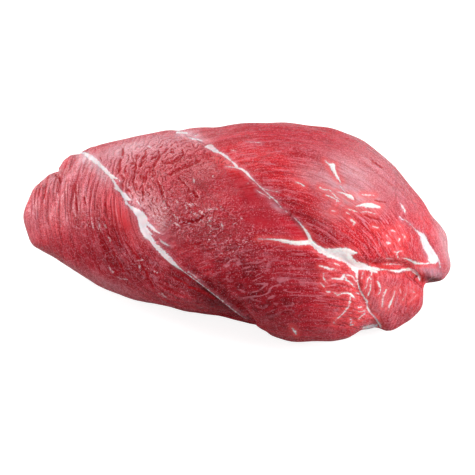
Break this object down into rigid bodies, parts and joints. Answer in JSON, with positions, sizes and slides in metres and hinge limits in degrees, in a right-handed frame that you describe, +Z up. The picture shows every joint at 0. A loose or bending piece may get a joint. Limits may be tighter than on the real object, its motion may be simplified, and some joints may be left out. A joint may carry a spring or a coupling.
{
  "type": "boneless raw beef joint",
  "caption": "trimmed boneless raw beef joint of several lean muscles with pale fat and silverskin seams between them, lying on a flattened underside",
  "frame": {"origin": "centre of the bounding box's underside, which is the flat face the joint lies on", "axes": "+X along the long way, from the thin end to the thick end; +Y away from the seamed front; +Z up"},
  "size_m": [0.3206, 0.1874, 0.1282],
  "materials": {
    "lean": "moist raw lean beef with a soft wet gloss, thin white fat seams and bluish silverskin"
  },
  "bodies": {
    "root": {"beef_joint": "lean"}
  },
  "joints": []
}
